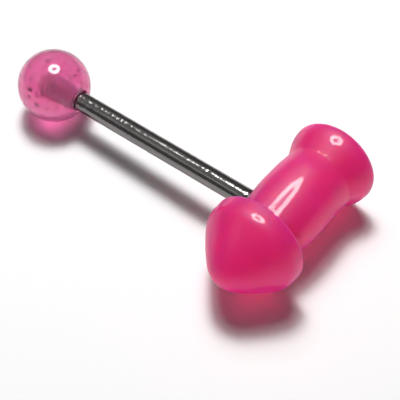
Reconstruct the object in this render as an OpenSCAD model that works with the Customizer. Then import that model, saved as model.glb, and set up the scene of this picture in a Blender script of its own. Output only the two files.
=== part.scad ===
// Tongue barbell: a straight bar with a round ball screwed on one end and a turned novelty
// top screwed across the other end, lying on a flat surface.
// Millimetres, +Z up. +X runs along the bar from the ball to the top, and +Y along the top
// from its cap to its foot. The origin is on the surface, at the middle of the object's box.

/* [Bar] */
// Diameter of the bar, 14 gauge
bar_d = 1.6; // [1.2:0.1:2]
// Length of bar that shows between the ball and the top
bar_exposed = 17; // [8:0.5:30]
// Length of each threaded end
thread_len = 3.2; // [2.5:0.1:3.6]
// Depth of the thread, from the bar's surface to the core that stands for the threaded end
thread_depth = 0.21; // [0.16:0.01:0.3]
// Bevel round the tip of each threaded end
thread_bevel = 0.15; // [0.05:0.05:0.25]

/* [Sockets] */
// Clearance all round between the core of a threaded end and its socket
core_gap = 0.04; // [0.02:0.01:0.09]
// Room beyond the tip of a threaded end
tip_gap = 0.3; // [0.1:0.1:0.6]
// Width of the rim round the bar at the wide end of a socket's countersink
mouth_rim = 0.12; // [0.12:0.01:0.3]
// Clearance all round between the bar's shoulder and the countersink
seat_gap = 0.11; // [0.05:0.01:0.11]
// Slope of the pointed bottom of a drilled socket, in degrees
drill_slope = 31; // [20:45]

/* [Ball] */
// Diameter of the ball
ball_d = 6; // [5:0.5:8]

/* [Shaft of the top] */
// Diameter of the shaft at its belly, where it is thickest
shaft_belly_d = 5.9; // [5:0.1:6.4]
// From the bar's centre line to the belly, towards the foot
shaft_belly_set = 1.4; // [0.5:0.1:2.5]
// Radius of the arc that swells the shaft from the cap to the belly
shaft_swell_r = 14; // [12:30]
// Diameter of the shaft where the foot starts to flare
shaft_foot_d = 5.78; // [5:0.01:6.4]
// From the belly's surface down to the mouth of the bar's socket
mouth_sink = 0.125; // [0.1:0.005:0.15]

/* [Cap of the top] */
// Largest diameter of the cap
cap_d = 7.86; // [7.4:0.01:10]
// From the bar's centre line to the back end of the cap's widest band
cap_set = 2.65; // [2.4:0.05:5]
// Length of the band where the cap is widest
cap_band = 0.65; // [0.2:0.05:1]
// From the bar's centre line to the tip of the cap
cap_reach = 7.45; // [6.6:0.05:9]
// Rounding of the band's back edge
cap_back_r = 0.2; // [0.1:0.05:0.6]
// Radius of the round shoulder in front of the band
cap_shoulder_r = 1.8; // [0.6:0.1:2.4]
// Rounding of the cap's tip
cap_tip_r = 2.2; // [0.8:0.1:2.6]
// Radius of the arc that swells the cap's flank
cap_flank_r = 16; // [10:30]
// Fillet between the back of the cap and the shaft
cap_fillet_r = 0.3; // [0.1:0.1:0.5]

/* [Foot of the top] */
// Largest diameter of the foot
foot_d = 7.15; // [6.8:0.05:9]
// From the bar's centre line to the widest line of the foot
foot_set = 7; // [6.4:0.05:9]
// From the edge's rounding to the middle of the slightly domed end
foot_dome = 0.12; // [0.05:0.01:0.5]
// Rounding of the foot's edge
foot_edge_r = 0.65; // [0.3:0.05:1]
// Slope of the flare's straight stretch, in degrees
flare_slope = 24; // [18:30]
// Radius of the hollow curve where the flare leaves the shaft
flare_hollow_r = 1.5; // [0.5:0.1:2]
// Radius of the round shoulder before the widest line
flare_shoulder_r = 2.6; // [1:0.1:3]

/* [Smoothness] */
// Facets round each turned shape
$fn = 96; // [48:24:192]
// Steps along each arc of an outline
arc_steps = 12; // [6:24]

/* [Hidden] */

bar_r = bar_d / 2;
core_r = bar_r - thread_depth;
ball_r = ball_d / 2;
cap_r = cap_d / 2;
foot_r = foot_d / 2;
belly_r = shaft_belly_d / 2;
shank_r = shaft_foot_d / 2;

// Sockets, with a countersink of 45 degrees that takes the bar's shoulder
bore_r = core_r + core_gap;
mouth_r = bar_r + mouth_rim;
shoulder_depth = mouth_rim - seat_gap;
bore_depth = shoulder_depth + thread_len + tip_gap;
// How far the countersink's cutting shape goes on above a socket's mouth
air = 0.5;

// The cap's outline, as points [distance from the axis, distance along it]
tip_centre = [0, cap_tip_r - cap_reach];
bulge_centre = [cap_r - cap_shoulder_r, -cap_set - cap_band];
back_centre = [cap_r - cap_back_r, -cap_set];
flank_centre = meeting(tip_centre, cap_flank_r - cap_tip_r, bulge_centre, cap_flank_r - cap_shoulder_r);
cap_back = cap_back_r - cap_set;

// The shaft's swelling, and the fillet that meets it at the back of the cap
swell_centre = [belly_r - shaft_swell_r, shaft_belly_set];
fillet_set = cap_back + cap_fillet_r;
fillet_span = sqrt((shaft_swell_r + cap_fillet_r) ^ 2 - (shaft_belly_set - fillet_set) ^ 2);
fillet_centre = [swell_centre.x + fillet_span, fillet_set];

// The foot's outline
edge_centre = [foot_r - foot_edge_r, foot_set];
shoulder_centre = [foot_r - flare_shoulder_r, foot_set];
foot_rise = foot_r - shank_r;
curve_rise = (flare_hollow_r + flare_shoulder_r) * (1 - cos(flare_slope));
straight_len = (foot_rise - curve_rise) / sin(flare_slope);
curve_len = (flare_hollow_r + flare_shoulder_r) * sin(flare_slope);
flare_start = foot_set - curve_len - straight_len * cos(flare_slope);
hollow_centre = [shank_r + flare_hollow_r, flare_start];
// The end's dome touches the edge's rounding and has its centre on the axis
foot_reach = foot_set + foot_edge_r + foot_dome;
dome_span = foot_edge_r + foot_dome;
dome_r = (dome_span ^ 2 + edge_centre.x ^ 2 - foot_edge_r ^ 2) / (2 * foot_dome);
dome_centre = [0, foot_reach - dome_r];
dome_angle = atan2(edge_centre.y - dome_centre.y, edge_centre.x);

// Radius of the shaft where the bar's centre line crosses it
cross_r = swell_centre.x + sqrt(shaft_swell_r ^ 2 - shaft_belly_set ^ 2);

// Places along the bar's centre line, counted from the ball's centre
top_x = ball_r + bar_exposed + cross_r;
ball_mouth_x = sqrt(ball_r ^ 2 - mouth_r ^ 2);
top_mouth_x = top_x - belly_r + mouth_sink;
ball_shoulder_x = ball_mouth_x - shoulder_depth;
top_shoulder_x = top_mouth_x + shoulder_depth;
shoulders_apart = top_shoulder_x - ball_shoulder_x;

// How it lies: the ball, the cap's band and the foot's edge touch the surface. The height of
// the top's axis falls from the cap to the foot by top_tilt, and the bar rises by bar_tilt.
rim_run = cap_set + foot_set;
ring_drop = back_centre.x - edge_centre.x;
round_drop = cap_back_r - foot_edge_r;
top_tilt = atan2(ring_drop, rim_run) + asin(round_drop / norm([rim_run, ring_drop]));
axis_height = back_centre.x * cos(top_tilt) + cap_back_r - cap_set * sin(top_tilt);
bar_tilt = asin((axis_height - ball_r) / top_x);

// The lying object's box along X and Y, before it is centred
cap_centre_x = top_x * cos(bar_tilt) - cap_set * sin(top_tilt) * sin(bar_tilt);
box_x = [-ball_r, cap_centre_x + cap_r];
box_y = [tip_centre.y * cos(top_tilt) - cap_tip_r, dome_centre.y * cos(top_tilt) + dome_r];

// Points of an arc round c, from angle a to angle b
function arc(c, r, a, b) = [
    for (i = [0 : arc_steps])
        let (t = a + (b - a) * i / arc_steps)
        c + r * [cos(t), sin(t)]
];

// The point at distance a from p and b from q, on the left going from p to q
function meeting(p, a, q, b) =
    let (d = norm(q - p))
    let (along = (a ^ 2 - b ^ 2 + d ^ 2) / (2 * d))
    let (across = sqrt(a ^ 2 - along ^ 2))
    let (u = (q - p) / d)
    p + u * along + [-u.y, u.x] * across;

// Angle of the line from p to q
function heading(p, q) = atan2(q.y - p.y, q.x - p.x);

function cap_outline() = concat(
    arc(tip_centre, cap_tip_r, -90, heading(flank_centre, tip_centre)),
    arc(flank_centre, cap_flank_r, heading(flank_centre, tip_centre), heading(flank_centre, bulge_centre)),
    arc(bulge_centre, cap_shoulder_r, heading(flank_centre, bulge_centre), 0),
    arc(back_centre, cap_back_r, 0, 90),
    arc(fillet_centre, cap_fillet_r, 270, heading(swell_centre, fillet_centre) + 180),
    arc(swell_centre, shaft_swell_r, heading(swell_centre, fillet_centre), 0)
);

function foot_outline() = concat(
    arc(hollow_centre, flare_hollow_r, 180, 180 - flare_slope),
    arc(shoulder_centre, flare_shoulder_r, -flare_slope, 0),
    arc(edge_centre, foot_edge_r, 0, dome_angle),
    arc(dome_centre, dome_r, dome_angle, 90)
);

// The bar's outline, as points [distance from the axis, distance from the ball's shoulder]
function bar_outline() = [
    [0, -thread_len],
    [core_r - thread_bevel, -thread_len],
    [core_r, thread_bevel - thread_len],
    [core_r, 0],
    [bar_r, 0],
    [bar_r, shoulders_apart],
    [core_r, shoulders_apart],
    [core_r, shoulders_apart + thread_len - thread_bevel],
    [core_r - thread_bevel, shoulders_apart + thread_len],
    [0, shoulders_apart + thread_len]
];

// A socket's outline, as points [distance from the axis, depth below the mouth]
function socket_outline() = [
    [0, -air],
    [mouth_r + air, -air],
    [bore_r, mouth_r - bore_r],
    [bore_r, bore_depth],
    [0, bore_depth + bore_r * tan(drill_slope)]
];

// A shape made along Z, turned to point along X
module along_x() {
    rotate([0, 90, 0]) children();
}

// Cutting shape of a socket: Z points into the material, and Z = 0 is the mouth's plane
module socket_cut() {
    rotate_extrude() polygon(socket_outline());
}

// Sets the object down on its surface and centres its box on the origin
module lying() {
    translate([-(box_x[0] + box_x[1]) / 2, -(box_y[0] + box_y[1]) / 2, ball_r])
        rotate([-top_tilt, -bar_tilt, 0])
        children();
}

module bar() {
    color([0.55, 0.55, 0.54])
        lying()
        translate([ball_shoulder_x, 0, 0])
        along_x()
        rotate_extrude()
        polygon(bar_outline());
}

module ball_end() {
    color([0.86, 0.36, 0.6])
        lying()
        along_x()
        difference() {
            sphere(r = ball_r);
            translate([0, 0, ball_mouth_x]) mirror([0, 0, 1]) socket_cut();
        }
}

module novelty_top() {
    color([0.85, 0.15, 0.42])
        lying()
        difference() {
            translate([top_x, 0, 0])
                rotate([-90, 0, 0])
                rotate_extrude()
                polygon(concat(cap_outline(), foot_outline()));
            translate([top_mouth_x, 0, 0]) along_x() socket_cut();
        }
}

bar();
ball_end();
novelty_top();
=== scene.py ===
"""A tongue barbell lying on white paper under a ring light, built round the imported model.

Sizes are millimetres in the jewel's own frame, as in part.scad: x runs along the bar from the
ball's centre, y along the novelty top from its cap to its foot. lay_down() turns points of
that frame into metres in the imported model's frame, where the jewel lies on the paper.
"""
import math

import bpy
import numpy as np
from mathutils import Matrix, Vector


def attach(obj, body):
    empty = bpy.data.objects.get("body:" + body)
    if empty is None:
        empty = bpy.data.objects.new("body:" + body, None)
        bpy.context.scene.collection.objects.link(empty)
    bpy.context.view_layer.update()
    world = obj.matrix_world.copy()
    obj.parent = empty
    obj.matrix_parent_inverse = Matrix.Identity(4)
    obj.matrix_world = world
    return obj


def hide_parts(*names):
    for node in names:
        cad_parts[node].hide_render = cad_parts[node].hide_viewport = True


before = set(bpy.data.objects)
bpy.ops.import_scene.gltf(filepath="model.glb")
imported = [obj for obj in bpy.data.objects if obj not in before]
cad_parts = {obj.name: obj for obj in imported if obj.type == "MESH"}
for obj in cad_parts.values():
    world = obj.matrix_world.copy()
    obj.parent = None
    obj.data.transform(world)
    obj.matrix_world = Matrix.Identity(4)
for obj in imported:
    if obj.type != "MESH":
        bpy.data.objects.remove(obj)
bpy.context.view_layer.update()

# Sizes that part.scad sets
BAR_R = 0.8
THREAD_LEN = 3.2
# Radius of the core that stands for a thread, and of its socket
CORE_R = 0.59
BORE_R = 0.63
MOUTH_R = 0.92
SHOULDER_DEPTH = 0.01
BORE_DEPTH = 3.51
DRILL_SLOPE = 31.0
BALL_R = 3.0
BALL_MOUTH_X = math.sqrt(BALL_R ** 2 - MOUTH_R ** 2)
BALL_SHOULDER_X = BALL_MOUTH_X - SHOULDER_DEPTH
TOP_X = 22.8798
TOP_MOUTH_X = 20.0548
TOP_SHOULDER_X = TOP_MOUTH_X + SHOULDER_DEPTH
TOP_TILT = 2.10502
BAR_TILT = 2.07931
BALL_CENTRE = (-11.8956, -0.171417, 3.0)

# Thread M1.6, as fine a stud as such a bar has. Counted from the crest's middle as a share of
# half a pitch, the root starts at ROOT_FROM, and the flank before it takes FLANK
THREAD_PITCH = 0.35
THREAD_CREST_R = 0.785
ROOT_FROM, FLANK = 0.84, 0.68
# Rows of points in each turn of a thread
THREAD_STEPS = 12
# Clearance between the bar's thread and a socket's
SOCKET_AIR = 0.04
# Threaded end: radius of its flat tip and at the top of the bevel there, the plain neck by the
# shoulder, the length in which the thread runs out, and the bevel of the bar's shoulder
TIP_R, TIP_BEVEL_R = 0.42, 0.44
NECK, STUD_RUN_OUT = 0.06, 0.3
SHOULDER_BEVEL = 0.03
# Socket: where its thread starts and the length in which it runs out at the bottom
SOCKET_START, SOCKET_RUN_OUT = 0.1, 0.25

# Points round each turned shape, rows along the bar and the ball
RING = 192
TOP_RING = 176
BAR_RING = 96
BAR_ROWS = 60
BALL_ROWS = 150
# Edges sharper than this, in degrees, stay crisp
TURNED_EDGE, MOULDED_EDGE = 50, 40
# Points nearer than this count as one
SAME_POINT = 1e-6

# Turns the jewel's own frame to the way it lies
LIE = np.array(Matrix.Rotation(math.radians(-BAR_TILT), 3, "Y")
               @ Matrix.Rotation(math.radians(-TOP_TILT), 3, "X"))


def lay_down(points):
    """Points of the jewel's own frame, in mm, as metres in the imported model's frame."""
    return (np.asarray(points, float) @ LIE.T + np.array(BALL_CENTRE)) / 1000.0


def arc(centre, radius, start, end, steps):
    """Points of an arc in an outline's plane, angles in degrees."""
    turn = np.radians(np.linspace(start, end, steps + 1))
    return [(centre[0] + radius * math.cos(t), centre[1] + radius * math.sin(t)) for t in turn]


def heading(p, q):
    """Angle of the line from p to q, in degrees."""
    return math.degrees(math.atan2(q[1] - p[1], q[0] - p[0]))


def meeting(p, a, q, b):
    """The point at distance a from p and b from q, on the left going from p to q."""
    dx, dy = q[0] - p[0], q[1] - p[1]
    span = math.hypot(dx, dy)
    along = (a * a - b * b + span * span) / (2 * span)
    across = math.sqrt(a * a - along * along)
    dx, dy = dx / span, dy / span
    return (p[0] + dx * along - dy * across, p[1] + dy * along + dx * across)


def even_out(outline, step):
    """The outline with long stretches split, so that rows are at most step apart."""
    out = [outline[0]]
    for p, q in zip(outline, outline[1:]):
        span = math.hypot(q[0] - p[0], q[1] - p[1])
        if span < SAME_POINT:
            continue
        parts = max(1, math.ceil(span / step))
        out += [(p[0] + (q[0] - p[0]) * k / parts, p[1] + (q[1] - p[1]) * k / parts)
                for k in range(1, parts + 1)]
    return out


def turned_mesh(name, along, radii, ring, place):
    """A closed turned mesh. along has one value a row, radii one value a row and angle; the
    first and last rows are points on the axis. place(along, radius, angle) gives xyz."""
    angle = np.linspace(0, 2 * math.pi, ring, endpoint=False)
    inner = range(1, len(along) - 1)
    points = [place(np.full(1, along[0]), np.zeros(1), angle[:1])]
    points += [place(np.full(ring, along[i]), np.broadcast_to(radii[i], ring), angle) for i in inner]
    points.append(place(np.full(1, along[-1]), np.zeros(1), angle[:1]))
    points = np.vstack(points)
    rows = len(along) - 2
    last = 1 + rows * ring
    faces = []
    for j in range(ring):
        k = (j + 1) % ring
        faces.append((0, 1 + k, 1 + j))
        faces.append((last, last - ring + j, last - ring + k))
    for i in range(rows - 1):
        a, b = 1 + i * ring, 1 + (i + 1) * ring
        faces += [(a + j, a + (j + 1) % ring, b + (j + 1) % ring, b + j) for j in range(ring)]
    if shell_volume(points, faces) < 0:
        faces = [tuple(reversed(f)) for f in faces]
    mesh = bpy.data.meshes.new(name)
    mesh.from_pydata(points.tolist(), [], faces)
    mesh.polygons.foreach_set("use_smooth", [True] * len(mesh.polygons))
    mesh.update()
    return mesh


def shell_volume(points, faces):
    """Signed volume of a closed shell, positive when its faces point outwards."""
    total = 0.0
    for f in faces:
        for k in range(1, len(f) - 1):
            total += np.dot(points[f[0]], np.cross(points[f[k]], points[f[k + 1]]))
    return total / 6


def new_piece(name, mesh):
    """An object in the scene that holds the mesh."""
    piece = bpy.data.objects.new(name, mesh)
    bpy.context.scene.collection.objects.link(piece)
    return piece


def round_the_bar(along, radius, angle):
    """Places a row of a shape turned round the bar's axis."""
    return lay_down(np.c_[along, radius * np.cos(angle), radius * np.sin(angle)])


def mesh_from_rows(name, rows, ring):
    """A shape turned round the bar's axis, from its rows: (along, radii)."""
    along, radii = zip(*rows)
    return turned_mesh(name, along, radii, ring, round_the_bar)


def thread_rise(along, angle):
    """From 0 at the thread's root to 1 at its crest, on a right-handed helix."""
    turn = (along / THREAD_PITCH - angle / (2 * math.pi)) % 1.0
    off_crest = np.abs(turn - 0.5) * 2
    rise = np.clip((ROOT_FROM - off_crest) / FLANK, 0, 1)
    return rise * rise * (3 - 2 * rise)


# Bar

def stud_rows(shoulder, way):
    """Rows of one threaded end, from its tip to its shoulder: (along, radii)."""
    angle = np.linspace(0, 2 * math.pi, BAR_RING, endpoint=False)
    rows = [(THREAD_LEN, np.zeros(BAR_RING)), (THREAD_LEN, np.full(BAR_RING, TIP_R))]
    count = int(THREAD_LEN / THREAD_PITCH * THREAD_STEPS)
    for i in range(1, count):
        back = THREAD_LEN * (1 - i / count)
        along = shoulder + way * back
        fade = np.clip((back - NECK) / STUD_RUN_OUT, 0, 1)
        radii = CORE_R + (THREAD_CREST_R - CORE_R) * thread_rise(along, angle) * fade
        bevel = TIP_BEVEL_R + (THREAD_LEN - back)
        rows.append((back, np.minimum(radii, bevel)))
    rows.append((0.0, np.full(BAR_RING, CORE_R)))
    rows.append((0.0, np.full(BAR_RING, BAR_R - SHOULDER_BEVEL)))
    rows.append((-SHOULDER_BEVEL, np.full(BAR_RING, BAR_R)))
    return [(shoulder + way * back, radii) for back, radii in rows]


def make_bar():
    """The bar, from the tip of the ball's threaded end to the tip of the top's."""
    rows = stud_rows(BALL_SHOULDER_X, -1)
    plain = np.linspace(BALL_SHOULDER_X + SHOULDER_BEVEL, TOP_SHOULDER_X - SHOULDER_BEVEL, BAR_ROWS)
    rows += [(along, np.full(BAR_RING, BAR_R)) for along in plain[1:-1]]
    rows += list(reversed(stud_rows(TOP_SHOULDER_X, 1)))
    mesh = mesh_from_rows("threaded_bar", rows, BAR_RING)
    mesh.set_sharp_from_angle(angle=math.radians(TURNED_EDGE))
    mark_threads(mesh)
    return new_piece("threaded_bar", mesh)


def mark_threads(mesh):
    """Gives the faces of both threaded ends the second material."""
    for face in mesh.polygons:
        along = float((np.array(face.center) * 1000 - BALL_CENTRE) @ LIE[:, 0])
        face.material_index = int(along < BALL_SHOULDER_X or along > TOP_SHOULDER_X)


# Sockets

def socket_rows(mouth, way, ring, lip=0.0):
    """Rows of a threaded socket from its mouth to its bottom. way is 1 where the socket goes
    towards +x. lip is how far the countersink's cone goes on outside the mouth."""
    angle = np.linspace(0, 2 * math.pi, ring, endpoint=False)
    rows = [(-lip, np.full(ring, MOUTH_R + lip))]
    count = int((BORE_DEPTH - SOCKET_START) / THREAD_PITCH * THREAD_STEPS)
    for i in range(count + 1):
        deep = SOCKET_START + (BORE_DEPTH - SOCKET_START) * i / count
        fade = np.clip((BORE_DEPTH - deep) / SOCKET_RUN_OUT, 0, 1)
        rise = thread_rise(mouth + way * deep, angle) * fade
        radii = CORE_R + SOCKET_AIR + (THREAD_CREST_R - CORE_R) * rise
        rows.append((deep, np.maximum(radii, MOUTH_R - deep)))
    rows.append((BORE_DEPTH, np.full(ring, BORE_R)))
    rows.append((BORE_DEPTH + BORE_R * math.tan(math.radians(DRILL_SLOPE)), np.zeros(ring)))
    return [(mouth + way * deep, radii) for deep, radii in rows]


# Ball

def make_ball():
    """The ball, closed at its far pole and going down into its socket."""
    rows = []
    mouth_angle = math.degrees(math.asin(MOUTH_R / BALL_R))
    for a in np.linspace(180, mouth_angle, BALL_ROWS):
        turn = math.radians(a)
        rows.append((BALL_R * math.cos(turn), np.full(RING, BALL_R * math.sin(turn))))
    rows += socket_rows(BALL_MOUTH_X, -1, RING)[1:]
    rows[0] = (-BALL_R, np.zeros(RING))
    mesh = mesh_from_rows("glitter_ball", rows, RING)
    mesh.set_sharp_from_angle(angle=math.radians(TURNED_EDGE))
    return new_piece("glitter_ball", mesh)


# Novelty top

BELLY_R, BELLY_SET, SWELL_R, SHANK_R = 2.95, 1.4, 14.0, 2.89
CAP_R, CAP_SET, CAP_BAND, CAP_REACH = 3.93, 2.65, 0.65, 7.45
CAP_BACK_R, CAP_SHOULDER_R, CAP_TIP_R, CAP_FLANK_R, FILLET_R = 0.2, 1.8, 2.2, 16.0, 0.3
FOOT_R, FOOT_SET, FOOT_DOME, FOOT_EDGE_R = 3.575, 7.0, 0.12, 0.65
FLARE_SLOPE, FLARE_SHOULDER_R = 24.0, 2.6
# The moulding's crease by the foot is tighter than the hollow in part.scad
HOLLOW_R = 0.35
# Rows of the moulding are at most this far apart
ROW_STEP = 0.12
# The shaft's slight arch: its height, the middle and spread of its rise along the top, and
# where it fades in and out
ARCH_HEIGHT, ARCH_MIDDLE, ARCH_SPREAD = 0.25, 1.2, 1.65
ARCH_FADES_IN, ARCH_FADES_OUT = (-2.5, -1.5), (2.9, 4.7)
# The arch lifts the axis by one share and makes a ridge by the other, at a turn and as wide, in
# radians, as given. Rows thinner than PLAIN_R stay round
LIFT_SHARE, RIDGE_SHARE = 0.4, 0.6
RIDGE_TURN, RIDGE_WIDTH = 0.12, 0.7
PLAIN_R = 2.0
# Marks of the mould: their height, how far they spread, and their places along the top
MARK_HEIGHT, MARK_SPREAD = 0.009, 0.30
CREASE_SET, CAP_MARKS_SET = 4.85, -1.35
# How far the socket's cutting shape goes on outside the shaft
DRILL_LIP = 0.5


def top_outline():
    """The top's outline from the cap's tip to the middle of the foot: (radius, along)."""
    tip = (0.0, CAP_TIP_R - CAP_REACH)
    bulge = (CAP_R - CAP_SHOULDER_R, -CAP_SET - CAP_BAND)
    back = (CAP_R - CAP_BACK_R, -CAP_SET)
    flank = meeting(tip, CAP_FLANK_R - CAP_TIP_R, bulge, CAP_FLANK_R - CAP_SHOULDER_R)
    swell = (BELLY_R - SWELL_R, BELLY_SET)
    fillet_set = CAP_BACK_R - CAP_SET + FILLET_R
    fillet_span = math.sqrt((SWELL_R + FILLET_R) ** 2 - (BELLY_SET - fillet_set) ** 2)
    fillet = (swell[0] + fillet_span, fillet_set)
    slope = math.radians(FLARE_SLOPE)
    curve_rise = (HOLLOW_R + FLARE_SHOULDER_R) * (1 - math.cos(slope))
    straight = (FOOT_R - SHANK_R - curve_rise) / math.sin(slope)
    start = FOOT_SET - (HOLLOW_R + FLARE_SHOULDER_R) * math.sin(slope) - straight * math.cos(slope)
    span, edge_x = FOOT_EDGE_R + FOOT_DOME, FOOT_R - FOOT_EDGE_R
    dome_r = (span ** 2 + edge_x ** 2 - FOOT_EDGE_R ** 2) / (2 * FOOT_DOME)
    dome = (0.0, FOOT_SET + span - dome_r)
    dome_angle = math.degrees(math.atan2(FOOT_SET - dome[1], edge_x))
    # Centre, radius, first and last angle, steps
    arcs = [
        (tip, CAP_TIP_R, -90, heading(flank, tip), 18),
        (flank, CAP_FLANK_R, heading(flank, tip), heading(flank, bulge), 32),
        (bulge, CAP_SHOULDER_R, heading(flank, bulge), 0, 20),
        (back, CAP_BACK_R, 0, 90, 8),
        (fillet, FILLET_R, 270, heading(swell, fillet) + 180, 10),
        (swell, SWELL_R, heading(swell, fillet), 0, 40),
        ((SHANK_R + HOLLOW_R, start), HOLLOW_R, 180, 180 - FLARE_SLOPE, 10),
        ((FOOT_R - FLARE_SHOULDER_R, FOOT_SET), FLARE_SHOULDER_R, -FLARE_SLOPE, 0, 16),
        ((edge_x, FOOT_SET), FOOT_EDGE_R, 0, dome_angle, 14),
        (dome, dome_r, dome_angle, 90, 24),
    ]
    return even_out([point for one in arcs for point in arc(*one)], ROW_STEP)


def smooth_step(value, low, high):
    """Rises smoothly from 0 at low to 1 at high."""
    share = np.clip((value - low) / (high - low), 0, 1)
    return share * share * (3 - 2 * share)


def shaft_rise(along):
    """How far the top of the moulding's shaft stands above the turned shape, in mm."""
    rise = ARCH_HEIGHT * np.tanh((along - ARCH_MIDDLE) / ARCH_SPREAD)
    return rise * smooth_step(along, *ARCH_FADES_IN) * (1 - smooth_step(along, *ARCH_FADES_OUT))


def mould_marks(along, angle):
    """Small unevenness left where the mould was worked: by the foot's crease and the cap."""
    # Crossed waves whose counts share no factor, so that the marks don't repeat
    wave = np.sin(31 * angle + 9 * along) * np.sin(11 * along + 1.3)
    wave = wave + np.sin(47 * angle - 17 * along + 2.1)
    near = sum(np.exp(-((along - place) / MARK_SPREAD) ** 2) for place in (CREASE_SET, CAP_MARKS_SET))
    return MARK_HEIGHT * wave * near


def round_the_top(along, radius, angle):
    """Places a row of the top, turned round its own axis with its shaft slightly arched."""
    rise = shaft_rise(along)
    lift = LIFT_SHARE * rise
    turn = (angle + math.pi) % (2 * math.pi) - math.pi
    ridge = RIDGE_SHARE * rise * np.exp(-((turn - RIDGE_TURN) / RIDGE_WIDTH) ** 2)
    ridge = ridge + mould_marks(along, angle)
    full = np.where(radius > PLAIN_R, radius + ridge, radius)
    return lay_down(np.c_[TOP_X + full * np.sin(angle), along, full * np.cos(angle) + lift])


def make_top():
    """The moulding, with its socket cut out."""
    outline = top_outline()
    along = [p[1] for p in outline]
    radii = [np.full(TOP_RING, p[0]) for p in outline]
    mesh = turned_mesh("novelty_moulding", along, radii, TOP_RING, round_the_top)
    moulding = new_piece("novelty_moulding", mesh)
    rows = socket_rows(TOP_MOUTH_X, 1, BAR_RING, lip=DRILL_LIP)
    rows.insert(0, (rows[0][0], np.zeros(BAR_RING)))
    drill = new_piece("socket_drill", mesh_from_rows("socket_drill", rows, BAR_RING))
    cut = moulding.modifiers.new("socket", "BOOLEAN")
    cut.operation = "DIFFERENCE"
    cut.solver = "EXACT"
    cut.object = drill
    moulding.data = applied_mesh(moulding, "novelty_moulding")
    moulding.modifiers.clear()
    bpy.data.objects.remove(drill)
    moulding.data.polygons.foreach_set("use_smooth", [True] * len(moulding.data.polygons))
    moulding.data.set_sharp_from_angle(angle=math.radians(MOULDED_EDGE))
    return moulding


def applied_mesh(piece, name):
    """The piece's mesh with its modifiers applied."""
    graph = bpy.context.evaluated_depsgraph_get()
    mesh = bpy.data.meshes.new_from_object(piece.evaluated_get(graph))
    mesh.name = name
    return mesh


# Flakes and bubbles in the ball

# Places of the flakes that show one by one
FLAKES_SEEN = [
    (-1.40, -0.39, 2.18), (-1.19, 0.19, 2.17), (-0.15, 0.24, 2.23), (-1.26, -0.98, 1.96),
    (-1.29, -1.60, 1.22), (-0.82, -1.36, 1.24), (-0.43, -1.57, 1.74), (0.38, -0.95, 1.27),
    (1.03, -0.45, 1.80), (1.46, -0.14, 1.42), (0.10, -1.87, 0.75), (-0.07, -2.28, -0.49),
    (0.51, -1.85, -0.30), (2.02, -1.05, -0.20), (1.68, -1.10, -1.21), (1.52, 1.11, 1.52),
    (2.10, 0.80, 1.05), (0.98, 1.29, 2.03), (-0.69, -2.50, 0.47), (-0.53, -0.18, 1.56),
    (0.46, 0.87, 1.58), (-0.19, -1.13, 0.61),
]
# Bright flakes: place, the way the flake faces, radius
GLINTS_SEEN = [
    ((-0.35, -2.73, 0.25), (0.061, -0.726, 0.685), 0.22),
    ((-0.65, -1.28, 2.13), (0.057, -0.288, 0.956), 0.09),
    ((-0.14, 0.81, 2.55), (0.129, 0.014, 0.991), 0.07),
    ((0.74, -2.11, 0.96), (0.276, -0.467, 0.84), 0.07),
    ((-0.77, -2.53, 0.66), (-0.016, -0.627, 0.779), 0.05),
]
GLINT_SIDES = 6
GLINT_HALF_THICKNESS = 0.01
# Bubbles that show: place and radius
BUBBLES_SEEN = [(-0.11, -2.55, 0.75, 0.15), (-0.62, -1.33, 2.21, 0.06), (0.79, -2.18, 1.02, 0.06)]
# How many bubbles there are with those at random, which are drawn from a cube of half side
# BUBBLE_CUBE and kept within BUBBLE_REACH of the ball's centre and clear of the bar's line
BUBBLE_COUNT, BUBBLE_SEED = 24, 23
BUBBLE_CUBE, BUBBLE_REACH, BUBBLE_CLEARANCE = 2.5, 2.6, 1.15
BUBBLE_RADII = (0.03, 0.06)


def group_input(tree, name, kind, value):
    """Gives a node group an input, with its value unless that is None."""
    socket = tree.interface.new_socket(name, in_out="INPUT", socket_type=kind)
    if value is not None:
        socket.default_value = value
    return socket


def add(tree, kind, **settings):
    """Adds a node. Names with a capital set its inputs, the others its properties."""
    node = tree.nodes.new(kind)
    for key, value in settings.items():
        if key[0].isupper():
            node.inputs[key.replace("_", " ")].default_value = value
        else:
            setattr(node, key, value)
    return node


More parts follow.
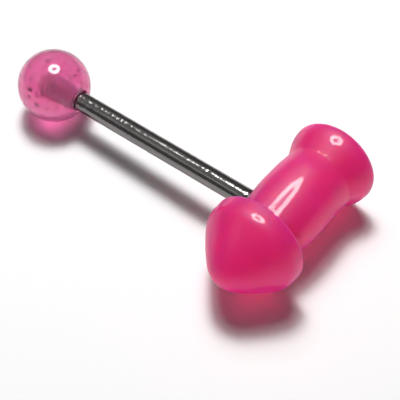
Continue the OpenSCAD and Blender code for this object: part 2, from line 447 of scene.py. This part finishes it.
def flake_tree(material):
    """Scatters thin six-sided flakes on the points given and at random through the ball."""
    tree = bpy.data.node_groups.new("Glitter flakes", "GeometryNodeTree")
    group_input(tree, "Geometry", "NodeSocketGeometry", None)
    group_input(tree, "Loose Flakes", "NodeSocketInt", 60)
    group_input(tree, "Ball Centre", "NodeSocketVector", (0, 0, 0))
    group_input(tree, "Bar Direction", "NodeSocketVector", (1, 0, 0))
    group_input(tree, "Reach", "NodeSocketFloat", 0.0027)
    group_input(tree, "Socket Clearance", "NodeSocketFloat", 0.001)
    group_input(tree, "Flake Radius", "NodeSocketFloat", 0.00008)
    group_input(tree, "Flake Thickness", "NodeSocketFloat", 0.000012)
    group_input(tree, "Seed", "NodeSocketInt", 5)
    tree.interface.new_socket("Geometry", in_out="OUTPUT", socket_type="NodeSocketGeometry")
    link = tree.links.new
    given = add(tree, "NodeGroupInput")
    loose = add(tree, "GeometryNodePoints")
    link(given.outputs["Loose Flakes"], loose.inputs["Count"])
    cube = add(tree, "FunctionNodeRandomValue", data_type="FLOAT_VECTOR")
    cube.inputs[0].default_value = (-1, -1, -1)
    cube.inputs[1].default_value = (1, 1, 1)
    link(given.outputs["Seed"], cube.inputs["Seed"])
    spread = add(tree, "ShaderNodeVectorMath", operation="SCALE")
    link(cube.outputs[0], spread.inputs[0])
    link(given.outputs["Reach"], spread.inputs["Scale"])
    place = add(tree, "ShaderNodeVectorMath", operation="ADD")
    link(spread.outputs[0], place.inputs[0])
    link(given.outputs["Ball Centre"], place.inputs[1])
    link(place.outputs[0], loose.inputs["Position"])
    # Taken out: what is out of reach of the ball's centre or too near the line of the bar
    here = add(tree, "GeometryNodeInputPosition")
    back = add(tree, "ShaderNodeVectorMath", operation="SUBTRACT")
    link(here.outputs[0], back.inputs[0])
    link(given.outputs["Ball Centre"], back.inputs[1])
    reach = add(tree, "ShaderNodeVectorMath", operation="LENGTH")
    link(back.outputs[0], reach.inputs[0])
    outside = add(tree, "FunctionNodeCompare", data_type="FLOAT", operation="GREATER_THAN")
    link(reach.outputs["Value"], outside.inputs[0])
    link(given.outputs["Reach"], outside.inputs[1])
    across = add(tree, "ShaderNodeVectorMath", operation="CROSS_PRODUCT")
    link(back.outputs[0], across.inputs[0])
    link(given.outputs["Bar Direction"], across.inputs[1])
    off_line = add(tree, "ShaderNodeVectorMath", operation="LENGTH")
    link(across.outputs[0], off_line.inputs[0])
    near = add(tree, "FunctionNodeCompare", data_type="FLOAT", operation="LESS_THAN")
    link(off_line.outputs["Value"], near.inputs[0])
    link(given.outputs["Socket Clearance"], near.inputs[1])
    either = add(tree, "FunctionNodeBooleanMath", operation="OR")
    link(outside.outputs[0], either.inputs[0])
    link(near.outputs[0], either.inputs[1])
    kept = add(tree, "GeometryNodeDeleteGeometry", domain="POINT")
    link(loose.outputs[0], kept.inputs["Geometry"])
    link(either.outputs[0], kept.inputs["Selection"])
    seen = add(tree, "GeometryNodeMeshToPoints")
    link(given.outputs["Geometry"], seen.inputs[0])
    both = add(tree, "GeometryNodeJoinGeometry")
    link(kept.outputs[0], both.inputs[0])
    link(seen.outputs[0], both.inputs[0])
    flake = add(tree, "GeometryNodeMeshCylinder", Vertices=6)
    link(given.outputs["Flake Radius"], flake.inputs["Radius"])
    link(given.outputs["Flake Thickness"], flake.inputs["Depth"])
    # Each is turned at random and a little smaller or larger than the rest
    turn = add(tree, "FunctionNodeRandomValue", data_type="FLOAT_VECTOR")
    turn.inputs[1].default_value = (math.pi, math.pi, math.pi)
    link(given.outputs["Seed"], turn.inputs["Seed"])
    size = add(tree, "FunctionNodeRandomValue", data_type="FLOAT")
    size.inputs[2].default_value = 0.6
    size.inputs[3].default_value = 1.25
    link(given.outputs["Seed"], size.inputs["Seed"])
    strew = add(tree, "GeometryNodeInstanceOnPoints")
    link(both.outputs[0], strew.inputs["Points"])
    link(flake.outputs["Mesh"], strew.inputs["Instance"])
    link(turn.outputs[0], strew.inputs["Rotation"])
    link(size.outputs[1], strew.inputs["Scale"])
    real = add(tree, "GeometryNodeRealizeInstances")
    link(strew.outputs[0], real.inputs[0])
    coat = add(tree, "GeometryNodeSetMaterial")
    coat.inputs["Material"].default_value = material
    link(real.outputs[0], coat.inputs["Geometry"])
    link(coat.outputs[0], add(tree, "NodeGroupOutput").inputs[0])
    return tree


def set_inputs(modifier, **values):
    """Sets a Geometry Nodes modifier's inputs by their sockets' identifiers."""
    for socket in modifier.node_group.interface.items_tree:
        key = socket.name.replace(" ", "_")
        if socket.in_out == "INPUT" and key in values:
            modifier[socket.identifier] = values[key]


def make_flakes(material):
    """The dark foil in the ball, as one mesh."""
    seen = bpy.data.meshes.new("flake_places")
    seen.from_pydata(lay_down(FLAKES_SEEN).tolist(), [], [])
    flakes = new_piece("glitter_flakes", seen)
    scatter = flakes.modifiers.new("flakes", "NODES")
    scatter.node_group = flake_tree(material)
    # The tree works in metres
    set_inputs(scatter, Loose_Flakes=110, Ball_Centre=tuple(c / 1000 for c in BALL_CENTRE),
               Bar_Direction=tuple(LIE[:, 0]), Reach=0.00278, Socket_Clearance=0.00105,
               Flake_Radius=0.000075, Flake_Thickness=0.00005, Seed=11)
    flakes.data = applied_mesh(flakes, "glitter_flakes")
    flakes.modifiers.clear()
    return flakes


def lay_glints(material):
    """The bright flakes, each a thin six-sided plate turned to flash towards the camera."""
    points, faces = [], []
    for place, face, radius in GLINTS_SEEN:
        up = Vector(face).normalized()
        side = up.orthogonal().normalized()
        first = len(points)
        for level in (-GLINT_HALF_THICKNESS, GLINT_HALF_THICKNESS):
            for k in range(GLINT_SIDES):
                rim = Matrix.Rotation(2 * math.pi * k / GLINT_SIDES, 3, up) @ side
                points.append(Vector(place) + rim * radius + up * level)
        low = [first + k for k in range(GLINT_SIDES)]
        high = [k + GLINT_SIDES for k in low]
        faces += [tuple(reversed(low)), tuple(high)]
        faces += list(zip(low, low[1:] + low[:1], high[1:] + high[:1], high))
    mesh = bpy.data.meshes.new("glints")
    mesh.from_pydata(lay_down(np.array(points)).tolist(), [], faces)
    mesh.materials.append(material)
    return new_piece("glints", mesh)


def bubble_tree():
    """Hollows a bubble out of the ball at each point given, as wide as the point's size."""
    tree = bpy.data.node_groups.new("Air bubbles", "GeometryNodeTree")
    group_input(tree, "Geometry", "NodeSocketGeometry", None)
    group_input(tree, "Facets", "NodeSocketInt", 3)
    group_input(tree, "Material", "NodeSocketMaterial", None)
    tree.interface.new_socket("Geometry", in_out="OUTPUT", socket_type="NodeSocketGeometry")
    link = tree.links.new
    given = add(tree, "NodeGroupInput")
    seen = add(tree, "GeometryNodeMeshToPoints")
    link(given.outputs["Geometry"], seen.inputs[0])
    hollow = add(tree, "GeometryNodeMeshIcoSphere", Radius=1.0)
    link(given.outputs["Facets"], hollow.inputs["Subdivisions"])
    inward = add(tree, "GeometryNodeFlipFaces")
    link(hollow.outputs["Mesh"], inward.inputs[0])
    width = add(tree, "GeometryNodeInputNamedAttribute", data_type="FLOAT", Name="bubble_radius")
    strew = add(tree, "GeometryNodeInstanceOnPoints")
    link(seen.outputs[0], strew.inputs["Points"])
    link(inward.outputs[0], strew.inputs["Instance"])
    link(width.outputs["Attribute"], strew.inputs["Scale"])
    real = add(tree, "GeometryNodeRealizeInstances")
    link(strew.outputs[0], real.inputs[0])
    smooth = add(tree, "GeometryNodeSetShadeSmooth")
    link(real.outputs[0], smooth.inputs["Geometry"])
    coat = add(tree, "GeometryNodeSetMaterial")
    link(smooth.outputs[0], coat.inputs["Geometry"])
    link(given.outputs["Material"], coat.inputs["Material"])
    link(coat.outputs[0], add(tree, "NodeGroupOutput").inputs[0])
    return tree


def hollow_bubbles(ball, material):
    """Adds the bubbles' walls to the ball's mesh, as hollows in the acrylic."""
    rng = np.random.default_rng(BUBBLE_SEED)
    bubbles = list(BUBBLES_SEEN)
    while len(bubbles) < BUBBLE_COUNT:
        p = rng.uniform(-BUBBLE_CUBE, BUBBLE_CUBE, 3)
        if np.linalg.norm(p) < BUBBLE_REACH and math.hypot(p[1], p[2]) > BUBBLE_CLEARANCE:
            bubbles.append((*p, rng.uniform(*BUBBLE_RADII)))
    places = bpy.data.meshes.new("bubble_places")
    places.from_pydata(lay_down([b[:3] for b in bubbles]).tolist(), [], [])
    width = places.attributes.new("bubble_radius", "FLOAT", "POINT")
    width.data.foreach_set("value", [b[3] / 1000 for b in bubbles])
    hollows = new_piece("ball_bubbles", places)
    pit = hollows.modifiers.new("bubbles", "NODES")
    pit.node_group = bubble_tree()
    set_inputs(pit, Facets=3, Material=material)
    hollows.data = applied_mesh(hollows, "ball_bubbles")
    hollows.modifiers.clear()
    join_into(ball, hollows)


def join_into(piece, other):
    """Moves the other object's mesh into the piece, with its materials."""
    with bpy.context.temp_override(active_object=piece, selected_editable_objects=[piece, other]):
        bpy.ops.object.join()


# Materials

def shader_group(name, inputs, outputs):
    """A shader node group with its sockets made, and its input and output nodes."""
    tree = bpy.data.node_groups.new(name, "ShaderNodeTree")
    for label, kind, value in inputs:
        group_input(tree, label, kind, value)
    for label, kind in outputs:
        tree.interface.new_socket(label, in_out="OUTPUT", socket_type=kind)
    return tree, add(tree, "NodeGroupInput"), add(tree, "NodeGroupOutput")


def handling_marks():
    """Faint smears and fine scratches on a polished surface."""
    tree, given, made = shader_group(
        "Handling marks",
        [("Vector", "NodeSocketVector", None), ("Smear Scale", "NodeSocketFloat", 600.0),
         ("Scratch Scale", "NodeSocketFloat", 9000.0), ("Polish", "NodeSocketFloat", 0.05),
         ("Dulling", "NodeSocketFloat", 0.08)],
        [("Roughness", "NodeSocketFloat"), ("Height", "NodeSocketFloat")])
    link = tree.links.new
    smear = add(tree, "ShaderNodeTexNoise", Detail=3.0, Roughness=0.6)
    link(given.outputs["Vector"], smear.inputs["Vector"])
    link(given.outputs["Smear Scale"], smear.inputs["Scale"])
    worn = add(tree, "ShaderNodeMath", operation="MULTIPLY_ADD")
    link(smear.outputs[0], worn.inputs[0])
    link(given.outputs["Dulling"], worn.inputs[1])
    link(given.outputs["Polish"], worn.inputs[2])
    link(worn.outputs[0], made.inputs["Roughness"])
    fine = add(tree, "ShaderNodeTexNoise", Detail=2.0, Roughness=0.5)
    link(given.outputs["Vector"], fine.inputs["Vector"])
    link(given.outputs["Scratch Scale"], fine.inputs["Scale"])
    link(fine.outputs[0], made.inputs["Height"])
    return tree


def cloudy_colour():
    """Slow drifts between two tones, as in cast acrylic."""
    tree, given, made = shader_group(
        "Cloudy colour",
        [("Vector", "NodeSocketVector", None), ("Cloud Scale", "NodeSocketFloat", 400.0),
         ("Light Tone", "NodeSocketColor", (1, 1, 1, 1)),
         ("Deep Tone", "NodeSocketColor", (0, 0, 0, 1)),
         ("Contrast", "NodeSocketFloat", 1.0)],
        [("Color", "NodeSocketColor")])
    link = tree.links.new
    cloud = add(tree, "ShaderNodeTexNoise", Detail=4.0, Roughness=0.55)
    link(given.outputs["Vector"], cloud.inputs["Vector"])
    link(given.outputs["Cloud Scale"], cloud.inputs["Scale"])
    centred = add(tree, "ShaderNodeMath", operation="SUBTRACT")
    link(cloud.outputs[0], centred.inputs[0])
    centred.inputs[1].default_value = 0.5
    spread = add(tree, "ShaderNodeMath", operation="MULTIPLY_ADD", use_clamp=True)
    link(centred.outputs[0], spread.inputs[0])
    link(given.outputs["Contrast"], spread.inputs[1])
    spread.inputs[2].default_value = 0.5
    tone = add(tree, "ShaderNodeMix", data_type="RGBA")
    link(spread.outputs[0], tone.inputs["Factor"])
    link(given.outputs["Deep Tone"], tone.inputs[6])
    link(given.outputs["Light Tone"], tone.inputs[7])
    link(tone.outputs[2], made.inputs["Color"])
    return tree


def new_material(name, shader_kind="ShaderNodeBsdfPrincipled"):
    """A material with one shader on its surface: material, node tree and shader."""
    material = bpy.data.materials.new(name)
    material.use_nodes = True
    tree = material.node_tree
    tree.nodes.clear()
    out = add(tree, "ShaderNodeOutputMaterial")
    shader = add(tree, shader_kind)
    tree.links.new(shader.outputs[0], out.inputs["Surface"])
    return material, tree, shader


def tint_inside(tree, density, colour):
    """Colours the light that goes through the material."""
    tint = add(tree, "ShaderNodeVolumeAbsorption", Density=density, Color=colour)
    tree.links.new(tint.outputs[0], tree.nodes["Material Output"].inputs["Volume"])


def between_tones(tree, factor, deep, light):
    """The output of a mix from the deep tone to the light one."""
    # Inputs 6 and 7 and output 2 are the mix's colours
    tone = add(tree, "ShaderNodeMix", data_type="RGBA")
    tone.inputs[6].default_value = deep
    tone.inputs[7].default_value = light
    tree.links.new(factor, tone.inputs["Factor"])
    return tone.outputs[2]


def along_the_bar(tree, scale):
    """Object coordinates turned so that x runs along the bar, then scaled."""
    here = add(tree, "ShaderNodeTexCoord")
    turn = add(tree, "ShaderNodeMapping", vector_type="POINT", Scale=scale)
    turn.inputs["Rotation"].default_value = (0, math.radians(BAR_TILT), 0)
    tree.links.new(here.outputs["Object"], turn.inputs["Vector"])
    return turn.outputs[0]


def place_group(tree, group, **values):
    """Places a node group in a material, with its values."""
    node = add(tree, "ShaderNodeGroup", node_tree=group)
    for key, value in values.items():
        node.inputs[key.replace("_", " ")].default_value = value
    return node


def steel_material(marks):
    """Polished steel with drawn lines along the bar."""
    material, tree, steel = new_material("polished_steel")
    link = tree.links.new
    steel.inputs["Metallic"].default_value = 1.0
    # The lines are the marks drawn out along the bar
    lines = place_group(tree, marks, Smear_Scale=2500.0, Scratch_Scale=9000.0,
                        Polish=0.03, Dulling=0.14)
    link(along_the_bar(tree, (0.05, 1.0, 1.0)), lines.inputs["Vector"])
    link(lines.outputs["Roughness"], steel.inputs["Roughness"])
    tone = between_tones(tree, lines.outputs["Height"], (0.150, 0.142, 0.140, 1),
                         (0.250, 0.238, 0.234, 1))
    link(tone, steel.inputs["Base Color"])
    drawn = add(tree, "ShaderNodeBump", Strength=0.2, Distance=0.000004)
    link(lines.outputs["Height"], drawn.inputs["Height"])
    # Small knocks that break the light up along the bar
    around = along_the_bar(tree, (1.0, 0.28, 0.28))
    knocks = add(tree, "ShaderNodeTexNoise", Scale=3600.0, Detail=3.0, Roughness=0.6)
    link(around, knocks.inputs["Vector"])
    # They fade from the ball's end of the bar to the top's
    split = add(tree, "ShaderNodeSeparateXYZ")
    link(around, split.inputs[0])
    fade = add(tree, "ShaderNodeMapRange")
    link(split.outputs["X"], fade.inputs["Value"])
    fade.inputs["From Min"].default_value = -0.009
    fade.inputs["From Max"].default_value = 0.008
    fade.inputs["To Min"].default_value = 1.1
    fade.inputs["To Max"].default_value = 0.3
    height = add(tree, "ShaderNodeMath", operation="MULTIPLY")
    link(knocks.outputs[0], height.inputs[0])
    link(fade.outputs[0], height.inputs[1])
    knocked = add(tree, "ShaderNodeBump", Strength=1.0, Distance=0.00005)
    link(height.outputs[0], knocked.inputs["Height"])
    link(drawn.outputs[0], knocked.inputs["Normal"])
    link(knocked.outputs[0], steel.inputs["Normal"])
    return material


def cut_thread_material(marks):
    """The paler, rougher steel of the cut threads."""
    material, tree, steel = new_material("cut_thread_steel")
    link = tree.links.new
    here = add(tree, "ShaderNodeTexCoord")
    steel.inputs["Metallic"].default_value = 0.7
    torn = place_group(tree, marks, Smear_Scale=4000.0, Scratch_Scale=12000.0,
                       Polish=0.30, Dulling=0.25)
    link(here.outputs["Object"], torn.inputs["Vector"])
    link(torn.outputs["Roughness"], steel.inputs["Roughness"])
    tone = between_tones(tree, torn.outputs["Height"], (0.78, 0.76, 0.75, 1), (0.90, 0.89, 0.88, 1))
    link(tone, steel.inputs["Base Color"])
    return material


def clear_pink_material(marks):
    """See-through pink acrylic, a little smeared on its surface."""
    material, tree, acrylic = new_material("clear_pink_acrylic")
    link = tree.links.new
    here = add(tree, "ShaderNodeTexCoord")
    smears = place_group(tree, marks, Smear_Scale=900.0, Scratch_Scale=5000.0,
                         Polish=0.0, Dulling=0.045)
    link(here.outputs["Object"], smears.inputs["Vector"])
    link(smears.outputs["Roughness"], acrylic.inputs["Roughness"])
    acrylic.inputs["Base Color"].default_value = (0.82, 0.39, 0.61, 1)
    acrylic.inputs["IOR"].default_value = 1.49
    acrylic.inputs["Transmission Weight"].default_value = 0.84
    acrylic.inputs["Subsurface Weight"].default_value = 1.0
    acrylic.inputs["Subsurface Radius"].default_value = (1.0, 0.35, 0.6)
    acrylic.inputs["Subsurface Scale"].default_value = 0.002
    tint_inside(tree, 300.0, (0.92, 0.12, 0.54, 1))
    return material


def hot_pink_material(marks, clouds):
    """Cloudy hot pink acrylic that lets light into its surface."""
    material, tree, acrylic = new_material("hot_pink_acrylic")
    link = tree.links.new
    here = add(tree, "ShaderNodeTexCoord")
    drift = place_group(tree, clouds, Cloud_Scale=260.0, Light_Tone=(0.96, 0.012, 0.262, 1),
                        Deep_Tone=(0.93, 0.006, 0.212, 1), Contrast=1.6)
    link(here.outputs["Object"], drift.inputs["Vector"])
    link(drift.outputs["Color"], acrylic.inputs["Base Color"])
    smears = place_group(tree, marks, Smear_Scale=700.0, Scratch_Scale=3500.0,
                         Polish=0.45, Dulling=0.15)
    link(here.outputs["Object"], smears.inputs["Vector"])
    link(smears.outputs["Roughness"], acrylic.inputs["Roughness"])
    acrylic.inputs["IOR"].default_value = 1.49
    acrylic.inputs["Specular IOR Level"].default_value = 0.1
    acrylic.inputs["Coat Weight"].default_value = 0.45
    acrylic.inputs["Coat Roughness"].default_value = 0.02
    acrylic.inputs["Coat IOR"].default_value = 1.49
    acrylic.inputs["Transmission Weight"].default_value = 0.36
    acrylic.inputs["Subsurface Weight"].default_value = 1.0
    acrylic.inputs["Subsurface Radius"].default_value = (1.0, 0.10, 0.28)
    acrylic.inputs["Subsurface Scale"].default_value = 0.008
    ripple = add(tree, "ShaderNodeBump", Strength=0.12, Distance=0.00002)
    link(smears.outputs["Height"], ripple.inputs["Height"])
    link(ripple.outputs[0], acrylic.inputs["Normal"])
    tint_inside(tree, 1000.0, (0.98, 0.10, 0.90, 1))
    return material


def foil_material(name, clouds, metallic, roughness, **tones):
    """Foil whose tone changes from flake to flake."""
    material, tree, foil = new_material(name)
    here = add(tree, "ShaderNodeTexCoord")
    drift = place_group(tree, clouds, **tones)
    tree.links.new(here.outputs["Object"], drift.inputs["Vector"])
    tree.links.new(drift.outputs["Color"], foil.inputs["Base Color"])
    foil.inputs["Metallic"].default_value = metallic
    foil.inputs["Roughness"].default_value = roughness
    return material


def pink_foil_material(clouds):
    """The pink foil of most of the flakes."""
    return foil_material("pink_foil", clouds, 0.3, 0.3, Cloud_Scale=2500.0, Contrast=4.0,
                         Light_Tone=(0.55, 0.04, 0.17, 1), Deep_Tone=(0.22, 0.004, 0.05, 1))


def silver_foil_material(clouds):
    """The pale silvery foil of the bright flakes."""
    return foil_material("silver_foil", clouds, 0.2, 0.4, Cloud_Scale=6000.0, Contrast=3.0,
                         Light_Tone=(0.95, 0.86, 0.91, 1), Deep_Tone=(0.85, 0.70, 0.78, 1))


def paper_material():
    """White paper with a faint tooth."""
    material, tree, paper = new_material("white_paper")
    link = tree.links.new
    here = add(tree, "ShaderNodeTexCoord")
    tooth = add(tree, "ShaderNodeTexNoise", Scale=2500.0, Detail=3.0)
    link(here.outputs["Object"], tooth.inputs["Vector"])
    rough = add(tree, "ShaderNodeBump", Strength=0.05, Distance=0.00002)
    link(tooth.outputs[0], rough.inputs["Height"])
    link(rough.outputs[0], paper.inputs["Normal"])
    paper.inputs["Base Color"].default_value = (0.95, 0.95, 0.95, 1)
    paper.inputs["Roughness"].default_value = 0.9
    paper.inputs["Specular IOR Level"].default_value = 0.2
    return material


# Paper, lights and camera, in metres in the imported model's frame

# Half the paper's width, and its height, a hair below the jewel
PAPER_HALF, PAPER_LEVEL = 0.6, -0.00002
# The ring light, which shows only in reflections
RING_LIGHT_CENTRE = (-0.0189, 0.0332, 0.1838)
RING_LIGHT_OUTER, RING_LIGHT_INNER = 0.052, 0.020
RING_LIGHT_GLOW = 26.0
RING_LIGHT_STEPS = 64
# The lamp that lights the paper and casts the shadows, a bulb and its wide shade: name, radius,
# power. Both are turned a little towards the near side, which is further from them
LAMPS = [("lamp_bulb", 0.024, 0.25), ("lamp_shade", 0.064, 0.315)]
LAMP_CENTRE = (-0.0542, 0.0554, 0.2050)
LAMP_AIM = (0.030, -0.030, 0.0)
# Cards that face the jewel: name, middle, width and height, glow, the only rays that see it.
# The steel mirrors the first towards the camera, under the ceiling. The third fills the sides
# turned to the camera, and the last is seen through the ball
CARDS = [
    ("grey_card", (-0.056, -0.067, 0.082), (0.060, 0.034), 0.8, "glossy"),
    ("ceiling", (-0.17, 0.03, 0.30), (0.40, 0.40), 0.42, "glossy"),
    ("side_card", (0.165, -0.195, 0.027), (0.50, 0.05), 4.8, "diffuse"),
    ("back_card", (-0.25, 0.32, 0.14), (0.80, 0.30), 0.6, "transmission"),
]
# The room's own light, and what reflections see on top of it
ROOM_GLOW, ROOM_MIRRORED = 0.01, 0.17
# The camera, at the photograph's angle
CAMERA_PLACE = (0.0385332, -0.0444918, 0.0734569)
CAMERA_LOOK = (-0.378751, 0.477628, -0.792729)
LENS, SENSOR = 105.192, 36.0


def lay_paper():
    """The sheet of paper that the jewel lies on."""
    mesh = bpy.data.meshes.new("paper")
    low, high = -PAPER_HALF, PAPER_HALF
    corners = [(x, y, PAPER_LEVEL) for x, y in ((low, low), (high, low), (high, high), (low, high))]
    mesh.from_pydata(corners, [], [(0, 1, 2, 3)])
    paper = new_piece("paper", mesh)
    mesh.materials.append(paper_material())


def facing(centre, aim=(0, 0, 0)):
    """Turn of a light at centre that looks at aim."""
    return (Vector(aim) - Vector(centre)).to_track_quat("-Z", "Y")


def hang_glowing(name, points, faces, glow, lights):
    """A lit shape that shows only to the rays named: glossy, diffuse or transmission."""
    mesh = bpy.data.meshes.new(name)
    mesh.from_pydata([tuple(p) for p in points], [], faces)
    shape = new_piece(name, mesh)
    material, tree, lit = new_material(name + "_glow", "ShaderNodeEmission")
    lit.inputs["Strength"].default_value = glow
    mesh.materials.append(material)
    shape.visible_camera = False
    shape.visible_shadow = False
    shape.visible_glossy = lights == "glossy"
    shape.visible_diffuse = lights == "diffuse"
    shape.visible_transmission = lights == "transmission"


def hang_ring_light():
    """The ring light that shines back from the steel and the acrylic."""
    centre = Vector(RING_LIGHT_CENTRE)
    turned = facing(centre)
    points, faces = [], []
    for i in range(RING_LIGHT_STEPS):
        turn = 2 * math.pi * i / RING_LIGHT_STEPS
        edge = Vector((math.cos(turn), math.sin(turn), 0))
        points += [centre + turned @ (edge * r) for r in (RING_LIGHT_INNER, RING_LIGHT_OUTER)]
        a, b = 2 * i, 2 * ((i + 1) % RING_LIGHT_STEPS)
        faces.append((a, b, b + 1, a + 1))
    hang_glowing("ring_light", points, faces, RING_LIGHT_GLOW, "glossy")


def hang_card(name, middle, size, glow, lights):
    """A dim card that faces the jewel."""
    centre = Vector(middle)
    turned = facing(centre)
    wide, high = size[0] / 2, size[1] / 2
    corners = ((-wide, -high), (wide, -high), (wide, high), (-wide, high))
    points = [centre + turned @ Vector((x, y, 0)) for x, y in corners]
    hang_glowing(name, points, [(0, 3, 2, 1)], glow, lights)


def hang_lamp(name, radius, power):
    """A round light over the paper, which nothing mirrors."""
    light = bpy.data.lights.new(name, "AREA")
    light.shape = "DISK"
    light.size = 2 * radius
    light.energy = power
    lamp = bpy.data.objects.new(name, light)
    bpy.context.scene.collection.objects.link(lamp)
    lamp.location = LAMP_CENTRE
    lamp.rotation_mode = "QUATERNION"
    lamp.rotation_quaternion = facing(LAMP_CENTRE, LAMP_AIM)
    lamp.visible_camera = False
    lamp.visible_glossy = False


def light_room():
    """The room round the paper, brighter in reflections than it lights the paper."""
    world = bpy.data.worlds.new("studio")
    bpy.context.scene.world = world
    world.use_nodes = True
    tree = world.node_tree
    room = tree.nodes["Background"]
    room.inputs["Color"].default_value = (1.0, 1.0, 1.0, 1)
    ray = add(tree, "ShaderNodeLightPath")
    glow = add(tree, "ShaderNodeMath", operation="MULTIPLY_ADD")
    tree.links.new(ray.outputs["Is Glossy Ray"], glow.inputs[0])
    glow.inputs[1].default_value = ROOM_MIRRORED
    glow.inputs[2].default_value = ROOM_GLOW
    tree.links.new(glow.outputs[0], room.inputs["Strength"])
    bpy.context.scene.view_settings.view_transform = "Standard"


def set_camera():
    """The camera, where the photograph was taken from."""
    data = bpy.data.cameras.new("camera")
    data.lens = LENS
    data.sensor_width = SENSOR
    data.clip_start = 0.001
    data.clip_end = 10.0
    camera = bpy.data.objects.new("camera", data)
    bpy.context.scene.collection.objects.link(camera)
    camera.location = CAMERA_PLACE
    camera.rotation_mode = "QUATERNION"
    camera.rotation_quaternion = Vector(CAMERA_LOOK).to_track_quat("-Z", "Y")
    bpy.context.scene.camera = camera


def main():
    """Makes the pieces and their materials, then the paper, the lights and the camera."""
    marks = handling_marks()
    clouds = cloudy_colour()
    clear_pink = clear_pink_material(marks)
    bar = make_bar()
    bar.data.materials.append(steel_material(marks))
    bar.data.materials.append(cut_thread_material(marks))
    ball = make_ball()
    ball.data.materials.append(clear_pink)
    hollow_bubbles(ball, clear_pink)
    flakes = make_flakes(pink_foil_material(clouds))
    join_into(flakes, lay_glints(silver_foil_material(clouds)))
    top = make_top()
    top.data.materials.clear()
    top.data.materials.append(hot_pink_material(marks, clouds))
    stand_ins = [
        (bar, "bar", "bar", "steel"),
        (ball, "ball", "ball_end", "glitter_acrylic"),
        (top, "top", "novelty_top", "pink_acrylic"),
    ]
    for piece, body, node, slot in stand_ins:
        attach(piece, body)
        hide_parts(node)
    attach(flakes, "ball")
    lay_paper()
    hang_ring_light()
    for card in CARDS:
        hang_card(*card)
    for lamp in LAMPS:
        hang_lamp(*lamp)
    light_room()
    set_camera()
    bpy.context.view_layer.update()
    for piece in (bar, ball, flakes, top):
        print(piece.name, sum(len(p.vertices) - 2 for p in piece.data.polygons), "triangles")


main()
